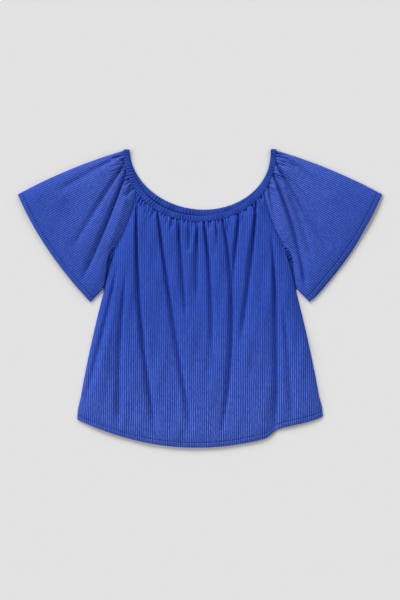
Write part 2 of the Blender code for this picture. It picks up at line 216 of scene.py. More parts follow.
class BlouseCloth(bpy.types.PropertyGroup):
    """Cloth of the blouse: how it lies and how it is striped."""

    loft: FloatProperty(
        name="Loft", description="Rise of the cloth between two folds, in millimetres",
        default=12.5, min=1.0, max=14.0)
    gather_depth: FloatProperty(
        name="Gather depth", description="Depth of a gather at the neckband, in millimetres",
        default=7.5, min=0.0, max=9.0)
    gathers: IntProperty(
        name="Gathers", description="Gathers along the front of the neckband",
        default=70, min=0, max=200)
    wall: FloatProperty(
        name="Wall", description="Thickness of one layer of cloth",
        default=0.00045, min=0.0001, max=0.003, unit="LENGTH")
    stripe: FloatProperty(
        name="Stripe", description="Distance from one pale stripe to the next",
        default=0.0049, min=0.001, max=0.05, unit="LENGTH")
    blue: StringProperty(
        name="Blue", description="Colour of the ground yarn, as sRGB hex", default="#254AB5")
    pale: StringProperty(
        name="Pale", description="Colour of the pale stripe, as sRGB hex", default="#6F83D2")
    # The thread's colour is the cloth's blue darkened as painted shade of the stitch line's dent
    thread: StringProperty(
        name="Thread", description="Colour of the sewing thread, as sRGB hex", default="#142C80")


class BlouseStudio(bpy.types.PropertyGroup):
    """Light, floor and camera."""

    floor: StringProperty(name="Floor", description="Colour of the floor, as sRGB hex", default="#ECEBEB")
    ambient: FloatProperty(name="Ambient", description="Strength of the even light", default=0.12, min=0.0)
    lights: FloatProperty(name="Lights", description="Strength of all soft boxes", default=5.35, min=0.0)
    lens: FloatProperty(name="Lens", description="Focal length in millimetres", default=85.0, min=10.0)
    view_height: FloatProperty(
        name="View height", description="Height of the floor that the camera frames",
        default=1.3714, min=0.1, unit="LENGTH")


def mix(a, b, share):
    """Number, point or array a share of the way from a to b."""
    if isinstance(a, tuple):
        return tuple(mix(first, second, share) for first, second in zip(a, b))
    return a + (b - a) * share


def smooth(share):
    """Ease from 0 to 1."""
    share = np.clip(share, 0.0, 1.0)
    return share * share * (3.0 - 2.0 * share)


def bend(points, share):
    """Bezier curve through its first and last points."""
    while len(points) > 1:
        points = [mix(a, b, share) for a, b in zip(points, points[1:])]
    return points[0]


def through(points, share):
    """Smooth curve through evenly timed points (Catmull-Rom)."""
    place = min(max(share, 0.0), 1.0) * (len(points) - 1)
    index = min(int(place), len(points) - 2)
    t = place - index
    last = len(points) - 1
    before, start, end, after = (points[min(max(index + k, 0), last)] for k in (-1, 0, 1, 2))
    weights = (
        -0.5 * t + t * t - 0.5 * t ** 3,
        1.0 - 2.5 * t * t + 1.5 * t ** 3,
        0.5 * t + 2.0 * t * t - 1.5 * t ** 3,
        -0.5 * t * t + 0.5 * t ** 3)
    return tuple(
        sum(w * p[axis] for w, p in zip(weights, (before, start, end, after))) for axis in (0, 1))


def neck_point(neck, out, turn):
    """Neckband curve: turn 0 is the -X shoulder fold and 1 the +X one, out is the way outwards."""
    angle = math.pi * turn
    across, down = math.cos(angle), max(math.sin(angle), 0.0)
    power = 2.0 / neck.power
    x = -(neck.half + out) * math.copysign(abs(across) ** power, across) + neck.lean * down
    return x, SHOULDER_Y - (neck.drop + out) * down ** power


def panel_neck(neck, turn):
    """Edge of a panel, tucked a little under the neckband's rounded edge."""
    return neck_point(neck, BAND_WIDTH - BAND_TUCK, turn)


def raglan(neck, side, share):
    """Raglan seam from the neckband to the underarm, bowed towards the body."""
    start = panel_neck(neck, RAGLAN_TURN if side < 0 else 1.0 - RAGLAN_TURN)
    x, y = mix(start, (side * UNDERARM[0], UNDERARM[1]), share)
    return x - side * RAGLAN_BOW * 4.0 * share * (1.0 - share), y


def hem_height(x):
    """Hem of the body: a shallow bow, lifted by one slack wave on the +X side."""
    rise = float(smooth((x - HEM_WAVE_FROM) / (HEM_WAVE_TOP - HEM_WAVE_FROM)))
    fall = float(smooth((x - HEM_WAVE_TOP) / (HEM_WAVE_TO - HEM_WAVE_TOP)))
    bow = HEM_MIDDLE_Y + HEM_RISE * ((x - HEM_MIDDLE_X) / HEM_CORNER_X) ** 2
    return bow + HEM_WAVE * rise * (1.0 - fall)


def body_side(neck, side, v):
    """Side of a body panel: the raglan seam, then the flared side seam."""
    if v <= BODY_RAGLAN_END:
        return raglan(neck, side, v / BODY_RAGLAN_END)
    share = (v - BODY_RAGLAN_END) / (1.0 - BODY_RAGLAN_END)
    y = mix(UNDERARM[1], hem_height(side * HEM_CORNER_X), share)
    down = UNDERARM[1] - y
    reach = UNDERARM[0] + SIDE_SLOPE * down - SIDE_CURVE * down * down
    return side * mix(reach, HEM_CORNER_X, float(smooth(8.0 * share - 7.0))), y


def patch(top, bottom, start, end, u, v):
    """Coons patch: the grid of points inside four edges, as rows of columns."""
    top, bottom = np.array([top(s) for s in u]), np.array([bottom(s) for s in u])
    start, end = np.array([start(s) for s in v]), np.array([end(s) for s in v])
    across, down = u[None, :, None], v[:, None, None]
    ruled_down = mix(top[None], bottom[None], down)
    ruled_across = mix(start[:, None], end[:, None], across)
    corners = mix(mix(top[0], top[-1], across), mix(bottom[0], bottom[-1], across), down)
    return ruled_down + ruled_across - corners


def spread_side(side, v):
    """Side of the back panel, which spreads until it lies under the sleeve's underarm seam."""
    x, y = body_side(BACK_NECK, side, v)
    if v <= BODY_RAGLAN_END or y < SLOT_END:
        return x, y
    seam_x, seam_y = np.transpose(UNDERARM_SEAM)
    seam_x = np.interp(-y, -seam_y, seam_x)
    fade = float(smooth((y - SLOT_END) / 7.0)) * float(smooth((UNDERARM[1] - y) / 8.0))
    return side * max(abs(x), mix(abs(x), seam_x + SLOT_SPREAD, fade)), y


def body_plan(neck, u, v):
    """Places of a body panel's grid on the table."""
    def sides(side):
        return (lambda v: spread_side(side, v)) if neck is BACK_NECK else (lambda v: body_side(neck, side, v))

    def top(u):
        return panel_neck(neck, mix(RAGLAN_TURN, 1.0 - RAGLAN_TURN, u))

    def bottom(u):
        x = HEM_CORNER_X * (2.0 * u - 1.0)
        return x, hem_height(x)

    return patch(top, bottom, sides(-1), sides(1), u, v)


def sleeve_plan(neck, side, u, v):
    """Places of a sleeve's grid: u runs from the fold along the arm's top to the underarm."""
    def mirrored(points):
        return [(side * x, y) for x, y in points]

    def top(u):
        return panel_neck(neck, RAGLAN_TURN * u if side < 0 else 1.0 - RAGLAN_TURN * u)

    def bottom(u):
        return bend(mirrored((SLEEVE_CORNER, SLEEVE_HEM_BEND, SLEEVE_TIP)), u)

    def fold(v):
        return bend([top(0.0)] + mirrored((SLEEVE_TOP_BEND, SLEEVE_CORNER)), v)

    def under(v):
        return underarm_edge(neck, side, v)

    return patch(top, bottom, fold, under, u, v)


def underarm_edge(neck, side, v):
    """Lower edge of a sleeve: its raglan seam, then its underarm seam."""
    if v <= SLEEVE_RAGLAN_END:
        return raglan(neck, side, v / SLEEVE_RAGLAN_END)
    share = (v - SLEEVE_RAGLAN_END) / (1.0 - SLEEVE_RAGLAN_END)
    return through([(side * x, y) for x, y in UNDERARM_SEAM], share)


def along(points, axis):
    """Distance run along a grid's rows (axis 1) or columns (axis 0), and its whole length."""
    steps = np.linalg.norm(np.diff(points, axis=axis), axis=2)
    run = np.concatenate([np.zeros_like(steps.take([0], axis)), np.cumsum(steps, axis)], axis)
    return run, run.take([-1], axis)


def soft_noise(points, long_way, short_way, angle, seed):
    """Smooth noise from a few plane waves, drawn out along one direction. It is about -1 to 1."""
    rng = np.random.default_rng(seed)
    along_dir = np.array([math.cos(angle), math.sin(angle)])
    across_dir = np.array([-along_dir[1], along_dir[0]])
    total = np.zeros(points.shape[:-1])
    waves = 14
    for _ in range(waves):
        slow, fast = rng.normal(0.0, 1.0 / long_way), rng.normal(0.0, 1.0 / short_way)
        wave = 2.0 * math.pi * (slow * along_dir + fast * across_dir)
        total += np.sin(points @ wave + rng.uniform(0, 6.3))
    return total * math.sqrt(2.0 / waves)


def fold_line(fold):
    """Points along a fold's path, through its start, middle and end."""
    t = np.linspace(0.0, 1.0, FOLD_SAMPLES)[:, None]
    start, middle, end = (np.array(fold[i:i + 2], float) for i in (0, 2, 4))
    return start * (1 - t) * (1 - 2 * t) + middle * 4 * t * (1 - t) + end * t * (2 * t - 1)


def distance_to(line, points):
    """Distance from each point to a line of points, and how far along it the nearest place is."""
    best = np.full(points.shape[0], np.inf)
    place = np.zeros(points.shape[0])
    for index, (a, b) in enumerate(zip(line, line[1:])):
        step = b - a
        share = np.clip((points - a) @ step / (step @ step), 0.0, 1.0)
        distance = np.linalg.norm(points - a - share[:, None] * step, axis=1)
        nearer = distance < best
        best[nearer] = distance[nearer]
        place[nearer] = (index + share[nearer]) / (len(line) - 1)
    return best, place


def press_folds(points, folds):
    """Share of the loft that the folds leave at each point, and the rise of the ridges."""
    flat = points.reshape(-1, 2)
    left, ridge = np.ones(len(flat)), np.zeros(len(flat))
    for fold in folds:
        line = fold_line(fold)
        reach = 8.0 * fold.half_width
        near = np.all((flat > line.min(0) - reach) & (flat < line.max(0) + reach), axis=1)
        distance, place = distance_to(line, flat[near])
        depth = np.interp(place, (0.0, FOLD_TOP, 1.0), (fold.start, fold.top, fold.end))
        depth = depth * smooth((1.0 - place) / FOLD_TAIL)
        if fold.top > 0.0:
            half_width = mix(FOLD_POINT, fold.half_width, np.clip(place * 1.9, 0.0, 1.0))
            trough = np.exp(-(distance / half_width) ** mix(3.0, 1.7, place))
            slack = np.exp(-distance / (FOLD_SPREAD * half_width))
            left[near] *= 1.0 - depth * mix(slack, trough, FOLD_SHARE)
        else:
            ridge[near] -= depth * np.exp(-(distance / fold.half_width) ** 2)
    return left.reshape(points.shape[:-1]), ridge.reshape(points.shape[:-1])


def gather_dip(points, neck, turns, lean, count, seed):
    """Short gathers that run down from the neckband, uneven in length and depth, 0 to about 1."""
    rng = np.random.default_rng(seed)
    flat = points.reshape(-1, 2)
    dip = np.zeros(len(flat))
    for index in range(count):
        turn = mix(turns[0], turns[1], (index + 0.5 + rng.uniform(-0.28, 0.28)) / count)
        start = np.array(panel_neck(neck, turn))
        square = start - np.array(neck_point(neck, 0.0, turn))
        way = square / np.linalg.norm(square) + np.array(lean)
        length = rng.choice(GATHER_LENGTHS, p=GATHER_ODDS) * rng.uniform(0.8, 1.25)
        end = start + way / np.linalg.norm(way) * length + rng.uniform(-1.5, 1.5, 2)
        half_width, depth = rng.uniform(*GATHER_HALF_WIDTHS), rng.uniform(*GATHER_DEPTHS)
        reach = 4.0 * half_width
        low, high = np.minimum(start, end) - reach, np.maximum(start, end) + reach
        near = np.all((flat > low) & (flat < high), axis=1)
        distance, place = distance_to(np.array((start, end)), flat[near])
        dip[near] += depth * smooth((1.0 - place) / 0.7) * np.exp(-(distance / half_width) ** 2)
    return dip.reshape(points.shape[:-1])


def hem_groove(from_hem):
    """Dent along a hem's stitch line, 1 on the line and 0 a little beside it."""
    return np.exp(-((from_hem - HEM_DEPTH) / 1.1) ** 2)


def back_layer(points, folds, turns, lean, count, seed):
    """Height of a back layer: flat on the table, with shallow hollows where it folds, gathers and is sewn.

    Its folds are like the front's, but the other way round.
    """
    from_band, length = along(points, 0)
    turned = [fold._replace(x0=-fold.x0, x1=-fold.x1, x2=-fold.x2) for fold in folds if fold.top > 0.0]
    left, _ = press_folds(points, turned)
    gathers = gather_dip(points, BACK_NECK, turns, lean, count, seed)
    hollow = BACK_HOLLOW * np.maximum(1.0 - left, np.clip(gathers, 0.0, 1.0))
    dent = BACK_DENT * hem_groove(length - from_band)
    return ARMPIT_BACK * armpit_share(points) + np.maximum(hollow, dent)


def raglan_dents(points):
    """Small uneven dents that the stitches pull along the two raglan seams."""
    flat = points.reshape(-1, 2)
    dents = np.zeros(len(flat))
    for side in (-1, 1):
        line = np.array([raglan(FRONT_NECK, side, share) for share in np.linspace(0.0, 1.0, 24)])
        distance, place = distance_to(line, flat)
        run = place * np.linalg.norm(np.diff(line, axis=0), axis=1).sum()
        beat = 0.65 + 0.35 * np.sin(run * 2.0 * math.pi / RAGLAN_DENT_PITCH + 1.5 * np.sin(run / 13.0))
        dents += RAGLAN_DENT * beat * np.exp(-(distance / 2.0) ** 2)
    return dents.reshape(points.shape[:-1])


def hem_relief(from_hem, run):
    """Turned hem: a step on its inner edge, the dent of its stitch line and small puckers."""
    step = HEM_STEP * smooth((HEM_DEPTH + 0.6 - from_hem) / 1.2)
    dent = STITCH_DENT * hem_groove(from_hem)
    wave = np.sin(run * 2.0 * math.pi / 8.3 + 1.7 * np.sin(run / 23.0)) * np.sin(run / 37.0 + 0.6)
    pucker = HEM_PUCKER * wave * np.exp(-((from_hem - HEM_DEPTH) / 7.0) ** 2)
    return step - dent + pucker


def front_layer(points, folds, edge, gathers, angle, seed):
    """Height of the front layer of a panel or sleeve, from its edges, folds and gathers."""
    cloth = bpy.context.scene.blouse_cloth
    from_band, length = along(points, 0)
    from_first, width = along(points, 1)
    from_hem, from_last = length - from_band, width - from_first
    side = np.minimum(from_first, from_last)
    first, last = edge
    height = BASE_HEIGHT + (first - BASE_HEIGHT) * np.exp(-from_first / EDGE_REACH)
    height = height + (last - BASE_HEIGHT) * np.exp(-from_last / EDGE_REACH)
    height = mix(height, BAND_SEAM_HEIGHT, np.exp(-from_band / EDGE_REACH))
    loft = 1.0 - np.exp(-side / SIDE_REACH)
    loft = loft * (1.0 - BAND_PRESS * np.exp(-from_band / BAND_REACH))
    loft = loft * (1.0 - HEM_PRESS * np.exp(-from_hem / HEM_REACH))
    left, ridge = press_folds(points, folds)
    billow = 1.0 + BILLOW * soft_noise(points, 200.0, 70.0, angle, seed)
    height = height + cloth.loft * loft * left * billow + cloth.loft * ridge * loft
    height = height - cloth.gather_depth * gathers * (1.0 - 0.5 * np.exp(-side / 3.0))
    height = height + CRUMPLE * loft * soft_noise(points, 140.0, 14.0, angle, seed + 1)
    height = height - raglan_dents(points)
    height = np.maximum(height + hem_relief(from_hem, from_first), LEAST_HEIGHT)
    return mix(height, ARMPIT_FRONT, armpit_share(points))


def armpit_share(points):
    """How near each point is to an underarm point, where all four seams meet: 1 there, 0 far off."""
    to_armpit = np.hypot(np.abs(points[..., 0]) - UNDERARM[0], points[..., 1] - UNDERARM[1])
    return np.exp(-(to_armpit / ARMPIT_REACH) ** 2)


def dense_ends(count, strength):
    """Shares from 0 to 1 that lie closer together near both ends."""
    t = np.linspace(0.0, 1.0, count + 1)
    return mix(t, 0.5 - 0.5 * np.cos(math.pi * t), strength)


def panel_rows(count, length):
    """Rows of a panel: close under the neckband and in the hem, wider apart between."""
    hem_rows = 1.0 - np.array(HEM_ROWS) / length
    t = np.linspace(0.0, 1.0, count - len(HEM_ROWS) + 1)
    upper = hem_rows[0] * mix(t, t ** 1.6, 0.5)
    return np.concatenate([upper, hem_rows[1:]])


def add_cloth(name, sheet, cut, mirrored=False, ring=False):
    """Mesh object from a sheet's points, with its place on the flat cut as its UV map."""
    faces = grid_faces(*sheet.shape[:2], ring)
    if mirrored:
        faces = faces[:, ::-1]
    mesh = bpy.data.meshes.new(name)
    mesh.from_pydata(np.round(sheet.reshape(-1, 3) * MILLIMETRE, 7).tolist(), [], faces.tolist())
    layer = mesh.uv_layers.new(name="cut")
    loops = np.empty(len(mesh.loops), int)
    mesh.loops.foreach_get("vertex_index", loops)
    layer.data.foreach_set("uv", (cut.reshape(-1, 2)[loops] * MILLIMETRE).ravel())
    piece = bpy.data.objects.new(name, mesh)
    bpy.context.scene.collection.objects.link(piece)
    return piece


def grid_faces(rows, columns, ring):
    """Quads of a grid whose points are numbered row by row. A ring closes on itself both ways."""
    number = np.arange(rows * columns).reshape(rows, columns)
    if ring:
        number = np.pad(number, ((0, 1), (0, 1)), mode="wrap")
    quads = np.stack([number[:-1, :-1], number[1:, :-1], number[1:, 1:], number[:-1, 1:]], axis=-1)
    return quads.reshape(-1, 4)


def hem_line(sheet, depth):
    """Points of the line that lies a depth inside a sheet's hem, one on each column."""
    from_band, length = along(sheet[..., :2], 0)
    from_hem = (length - from_band)[::-1]
    upward = sheet[::-1]
    return np.array([
        [np.interp(depth, from_hem[:, column], upward[:, column, axis]) for axis in range(3)]
        for column in range(sheet.shape[1])])


def sew_hem(name, sheet, mirrored):
    """Row of stitches round a sheet's hem: short threads that dip into the cloth at both ends."""
    line = hem_line(sheet, HEM_DEPTH)
    down = hem_line(sheet, HEM_DEPTH - STITCH_MARGIN) - hem_line(sheet, HEM_DEPTH + STITCH_MARGIN)
    outwards = np.cross(down, np.gradient(line, axis=0))
    outwards *= (-1.0 if mirrored else 1.0) / np.linalg.norm(outwards, axis=1, keepdims=True)
    run = np.concatenate([[0.0], np.cumsum(np.linalg.norm(np.diff(line, axis=0), axis=1))])
    curve = bpy.data.curves.new(name, "CURVE")
    curve.dimensions = "3D"
    curve.bevel_depth = THREAD_RADIUS * MILLIMETRE
    curve.bevel_resolution = 0
    curve.use_fill_caps = True
    for stitch in range(int((run[-1] - 2.0 * STITCH_MARGIN) / STITCH_PITCH)):
        start = STITCH_MARGIN + stitch * STITCH_PITCH
        spline = curve.splines.new("POLY")
        spline.points.add(2)
        for point, share, rise in zip(
                spline.points, (0.0, 0.5, 1.0), (STITCH_SINK, STITCH_RISE, STITCH_SINK)):
            place = start + share * STITCH_LENGTH
            spot = [np.interp(place, run, line[:, axis] + rise * outwards[:, axis]) for axis in range(3)]
            point.co = (spot[0] * MILLIMETRE, spot[1] * MILLIMETRE, spot[2] * MILLIMETRE, 1.0)
    thread = bpy.data.objects.new(name, curve)
    bpy.context.scene.collection.objects.link(thread)
    make_active(thread)
    bpy.ops.object.convert(target="MESH")
    thread = bpy.context.object
    thread.data.materials.append(cotton_materials()["shade_darkened_thread"])
    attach(thread, "root")
    return thread


def make_active(piece):
    """Select one object alone, for the operators that act on it."""
    bpy.ops.object.select_all(action="DESELECT")
    piece.select_set(True)
    bpy.context.view_layer.objects.active = piece


def finish_sheet(piece, node, material):
    """Give a sheet its wall and finish, and put it in its node's place on the body."""
    make_active(piece)
    thickness = piece.modifiers.new("Wall", "SOLIDIFY")
    thickness.thickness = bpy.context.scene.blouse_cloth.wall
    thickness.offset = -1.0
    bpy.ops.object.modifier_apply(modifier=thickness.name)
    bpy.ops.object.shade_smooth()
    piece.data.materials.append(material)
    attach(piece, "root")
    if node:
        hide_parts(node)


def linear(hex_colour):
    """Linear RGBA from an sRGB hex colour."""
    channels = [int(hex_colour[i:i + 2], 16) / 255.0 for i in (1, 3, 5)]
    return tuple(c / 12.92 if c <= 0.04045 else ((c + 0.055) / 1.055) ** 2.4 for c in channels) + (1.0,)


def node(tree, kind, links=(), **settings):
    """Add a node to a tree. Links map an input to a value or to another node's output."""
    made = tree.nodes.new(kind)
    for key, value in settings.items():
        setattr(made, key, value)
    for socket, value in dict(links).items():
        if isinstance(value, bpy.types.NodeSocket):
            tree.links.new(value, made.inputs[socket])
        else:
            made.inputs[socket].default_value = value
    return made


def striped_cotton(name, ground, pale, stripe):
    """Yarn-dyed plain-weave cotton: matt, slightly slubby, with a faint bloom of loose fibre.

    A thin pale warp stripe recurs across the flat cut, fainter up in the gathers, where the stripes
    crowd. The weave is finer than a render shows, so its bump is drawn coarser, two threads to 0.7 mm.
    """
    material = bpy.data.materials.new(name)
    material.use_nodes = True
    tree = material.node_tree
    shader = tree.nodes["Principled BSDF"]
    cut = node(tree, "ShaderNodeUVMap", uv_map="cut").outputs["UV"]
    place = node(tree, "ShaderNodeSeparateXYZ", {0: cut}).outputs
    drawn = node(tree, "ShaderNodeMapping", {"Vector": cut, "Scale": (420.0, 110.0, 1.0)}).outputs["Vector"]
    slub = node(tree, "ShaderNodeTexNoise", {"Vector": drawn, "Scale": 1.0, "Detail": 2.0}).outputs["Fac"]
    cloudy = node(tree, "ShaderNodeTexNoise", {"Vector": cut, "Scale": 22.0, "Detail": 3.0}).outputs["Fac"]
    repeat = node(tree, "ShaderNodeMath", {0: place["X"], 1: stripe}, operation="DIVIDE").outputs[0]
    offset = node(tree, "ShaderNodeMath", {0: repeat, 1: 0.0}, operation="FRACT").outputs[0]
    centred = node(tree, "ShaderNodeMath", {0: offset, 1: 0.5}, operation="SUBTRACT").outputs[0]
    distance = node(tree, "ShaderNodeMath", {0: centred}, operation="ABSOLUTE").outputs[0]
    line = node(
        tree, "ShaderNodeMapRange",
        {"Value": distance, "From Min": 0.10, "From Max": 0.24, "To Min": 1.0, "To Max": 0.0},
        interpolation_type="SMOOTHSTEP").outputs["Result"]
    uneven = node(
        tree, "ShaderNodeMapRange",
        {"Value": slub, "From Min": 0.36, "From Max": 0.64, "To Min": 0.4, "To Max": 1.0}).outputs["Result"]
    crowded = node(
        tree, "ShaderNodeMapRange",
        {"Value": place["Y"], "From Min": -0.33, "From Max": -0.02, "To Min": 1.1, "To Max": 0.40},
    ).outputs["Result"]
    visible = node(tree, "ShaderNodeMath", {0: uneven, 1: crowded}, operation="MULTIPLY").outputs[0]
    stripe_share = node(tree, "ShaderNodeMath", {0: line, 1: visible}, operation="MULTIPLY").outputs[0]
    ground_dark = tuple(channel * 0.80 for channel in ground[:3]) + (1.0,)
    base = node(tree, "ShaderNodeMix", {0: cloudy, 6: ground_dark, 7: ground}, data_type="RGBA").outputs[2]
    yarn = node(tree, "ShaderNodeMix", {0: stripe_share, 6: base, 7: pale}, data_type="RGBA").outputs[2]
    warp = node(tree, "ShaderNodeMath", {0: place["X"], 1: WEAVE_TURNS}, operation="MULTIPLY").outputs[0]
    weft = node(tree, "ShaderNodeMath", {0: place["Y"], 1: WEAVE_TURNS}, operation="MULTIPLY").outputs[0]
    warp_wave = node(tree, "ShaderNodeMath", {0: warp}, operation="SINE").outputs[0]
    weft_wave = node(tree, "ShaderNodeMath", {0: weft}, operation="SINE").outputs[0]
    weave = node(tree, "ShaderNodeMath", {0: warp_wave, 1: weft_wave}, operation="MULTIPLY").outputs[0]
    relief = {"Height": weave, "Strength": 0.25, "Distance": 0.00015}
    bump = node(tree, "ShaderNodeBump", relief).outputs["Normal"]
    tree.links.new(yarn, shader.inputs["Base Color"])
    tree.links.new(bump, shader.inputs["Normal"])
    shader.inputs["Roughness"].default_value = 0.86
    shader.inputs["IOR"].default_value = 1.46
    shader.inputs["Specular IOR Level"].default_value = 0.08
    shader.inputs["Sheen Weight"].default_value = 0.02
    shader.inputs["Sheen Roughness"].default_value = 0.45
    shader.inputs["Sheen Tint"].default_value = linear("#9FB2F0")
    return material


def shade_darkened_thread(name, colour):
    """Spun polyester thread: the cloth's blue, darkened further as painted shade of the stitch line's dent,
    with a slight shine of its own.
    """
    material = bpy.data.materials.new(name)
    material.use_nodes = True
    shader = material.node_tree.nodes["Principled BSDF"]
    shader.inputs["Base Color"].default_value = colour
    shader.inputs["Roughness"].default_value = 0.55
    return material


def cotton_materials():
    """The panels' cotton, the same cotton darkened as painted shade for the gathered neckband and the seam
    allowances, and the sewing thread, made once.
    """
    cloth = bpy.context.scene.blouse_cloth
    # The second kind is painted shade: the panels' cotton with its ground a tenth darker and its stripes a
    # fifth darker
    kinds = (("yarn_dyed_cotton", 1.0, 1.0), ("shade_darkened_cotton", 0.9, 0.8))
    made = {}
    for name, ground_share, pale_share in kinds:
        if name in bpy.data.materials:
            made[name] = bpy.data.materials[name]
            continue
        ground = tuple(c * ground_share for c in linear(cloth.blue)[:3]) + (1.0,)
        pale = tuple(c * pale_share for c in linear(cloth.pale)[:3]) + (1.0,)
        made[name] = striped_cotton(name, ground, pale, cloth.stripe)
    # The thread is darker than the cloth as painted shade of the stitch line's dent
    if "shade_darkened_thread" not in bpy.data.materials:
        shade_darkened_thread("shade_darkened_thread", linear(cloth.thread))
    made["shade_darkened_thread"] = bpy.data.materials["shade_darkened_thread"]
    return made


def body_edges(v):
    """Height of a body panel's side edge down its raglan and side seams."""
    shares, heights = np.transpose(BODY_EDGE)
    return np.interp(v, shares, heights)[:, None]


def body_cut(points):
    """Place of the stripes: they run straight down the body, as its gathers only bend them a little."""
    waver = 0.5 * soft_noise(points, 90.0, 40.0, math.pi / 2, 7)
    return np.stack([points[..., 0] + waver, points[..., 1]], axis=-1)


def body_gathers():
    """Turns of the neckband between which a body panel is gathered, and how many gathers it has."""
    turns = (RAGLAN_TURN, 1.0 - RAGLAN_TURN)
    return turns, round(bpy.context.scene.blouse_cloth.gathers * (turns[1] - turns[0]))


class BLOUSE_OT_front(bpy.types.Operator):
    """Lay the front panel over the back, with its folds, its gathers and its sewn hem"""

    bl_idname = "blouse.front"
    bl_label = "Front panel"

    def execute(self, context):
        v = panel_rows(FRONT_GRID[1], BODY_LENGTH)
        points = body_plan(FRONT_NECK, dense_ends(FRONT_GRID[0], 0.25), v)
        turns, count = body_gathers()
        gathers = gather_dip(points, FRONT_NECK, turns, BODY_LEAN, count, 11)
        edge = body_edges(v)
        height = front_layer(points, FRONT_FOLDS, (edge, edge), gathers, math.pi / 2, 21)
        sheet = np.dstack([points, height])
        piece = add_cloth("front_cloth", sheet, body_cut(points))
        finish_sheet(piece, "front_panel", cotton_materials()["yarn_dyed_cotton"])
        stitches = sew_hem("front_hem_stitches", sheet, False)
        return {"FINISHED"}


class BLOUSE_OT_back(bpy.types.Operator):
    """Lay the back panel flat on the table, with its sewn hem"""

    bl_idname = "blouse.back"
    bl_label = "Back panel"

    def execute(self, context):
        u = np.linspace(0.0, 1.0, BACK_GRID[0] + 1)
        points = body_plan(BACK_NECK, u, panel_rows(BACK_GRID[1], BODY_LENGTH))
        turns, count = body_gathers()
        height = back_layer(points, FRONT_FOLDS, turns, BODY_LEAN, count, 12)
        sheet = np.dstack([points, height])
        piece = add_cloth("back_cloth", sheet, body_cut(points), mirrored=True)
        finish_sheet(piece, "back_panel", cotton_materials()["yarn_dyed_cotton"])
        stitches = sew_hem("back_hem_stitches", sheet, True)
        return {"FINISHED"}


def sleeve_edge_profile(distance):
    """Round of a folded edge: 0 at the very edge and 1 from its reach inwards."""
    inward = np.clip(1.0 - distance / SLEEVE_EDGE_REACH, 0.0, 1.0)
    return np.sqrt(1.0 - inward ** 2)


def sleeve_sheet(side, seed):
    """Points and cut of a sleeve, round its cloth from the front layer to the back one."""
    cloth = bpy.context.scene.blouse_cloth
    folds, mirror_folds = RIGHT_SLEEVE_FOLDS, LEFT_SLEEVE_FOLDS
    if side > 0:
        folds, mirror_folds = mirror_folds, folds
    v = panel_rows(SLEEVE_GRID[1], SLEEVE_LENGTH)
    front = sleeve_plan(FRONT_NECK, side, dense_ends(SLEEVE_GRID[0], 0.45), v)
    back = sleeve_plan(BACK_NECK, side, dense_ends(SLEEVE_BACK_COLUMNS, 0.6), v)
    closed = v >= SLEEVE_RAGLAN_END
    turns = (0.0, RAGLAN_TURN) if side < 0 else (1.0, 1.0 - RAGLAN_TURN)
    lean = (side * SLEEVE_LEAN[0], SLEEVE_LEAN[1])
    count = round(cloth.gathers * RAGLAN_TURN)
    gathers = gather_dip(front, FRONT_NECK, turns, lean, count, seed)
    seam = np.interp(v, (SLEEVE_RAGLAN_END, 0.7, 1.0), UNDERARM_SEAM_HEIGHTS)[:, None]
    raglan_edge = np.interp(v, (0.0, SLEEVE_RAGLAN_END), (BAND_SEAM_HEIGHT, UNDERARM_HEIGHT))[:, None]
    edges = SLEEVE_FOLD_HEIGHT, np.where(closed[:, None], seam, raglan_edge)
    height = front_layer(front, folds, edges, gathers, math.atan2(-0.9, 0.45 * side), seed + 3)
    height = round_edges(front, height, seam, closed)
    back_height = back_layer(back, mirror_folds, turns, lean, count, seed + 1)
    back_height = round_edges(back, back_height, seam, closed)
    back[:, 0], back_height[:, 0] = front[:, 0], height[:, 0]
    back[closed, -1], back_height[closed, -1] = front[closed, -1], height[closed, -1]
    if side > 0:
        back = slip_back_hem(back, v)
    points = np.concatenate([front[:, ::-1], back[:, 1:]], axis=1)
    heights = np.concatenate([height[:, ::-1], back_height[:, 1:]], axis=1)
    front_cut, back_cut = sleeve_cut(front, side, 1.0), sleeve_cut(back, side, -1.0)
    return np.dstack([points, heights]), np.concatenate([front_cut[:, ::-1], back_cut[:, 1:]], axis=1)


def round_edges(points, height, seam, closed):
    """Bring a sleeve's layer round to mid height at its top fold and at its underarm seam."""
    run, width = along(points, 1)
    at_fold = sleeve_edge_profile(run)
    at_seam = np.where(closed[:, None], sleeve_edge_profile(width - run), 1.0)
    height = mix(0.5 * SLEEVE_FOLD_HEIGHT, height, at_fold)
    return mix(0.5 * seam, height, at_seam)


def slip_back_hem(back, v):
    """Let the back layer's hem show a little below the front's, towards the sleeve's tip."""
    share = np.linspace(0.0, 1.0, back.shape[1])
    slip = BACK_HEM_SLIP * smooth((share - 0.30) / 0.25) * smooth((0.97 - share) / 0.08)
    near_hem = smooth((v - 0.8) / 0.2)[:, None]
    return back + (near_hem * slip)[..., None] * np.array(BACK_HEM_WAY)


def sleeve_cut(points, side, way):
    """Place of the stripes on a sleeve, fanned from a far centre; the back layer mirrors the front."""
    spoke = points - np.array((side * -STRIPE_CENTRE[0], STRIPE_CENTRE[1]))
    radius = np.linalg.norm(spoke, axis=-1)
    turned = np.arctan2(spoke[..., 1], spoke[..., 0] * -side) * STRIPE_RADIUS
    turned = turned + 0.4 * soft_noise(points, 90.0, 40.0, 0.0, 8)
    across = turned[:, :1] + way * (turned - turned[:, :1])
    return np.stack([across, radius - STRIPE_RADIUS - STRIPE_SHIFT], axis=-1)


class BLOUSE_OT_sleeves(bpy.types.Operator):
    """Lay both raglan sleeves, folded along the top of the arm, with their hems and seam allowances"""

    bl_idname = "blouse.sleeves"
    bl_label = "Sleeves"

    def execute(self, context):
        for name, side, seed in SLEEVES:
            sheet, cut = sleeve_sheet(side, seed)
            piece = add_cloth(name + "_cloth", sheet, cut, mirrored=side < 0)
            close_underarm(piece)
            finish_sheet(piece, name, cotton_materials()["yarn_dyed_cotton"])
            stitches = sew_hem(name + "_hem_stitches", sheet, side < 0)
            allowance = seam_allowance(name + "_seam_allowance", side, seed)
        return {"FINISHED"}


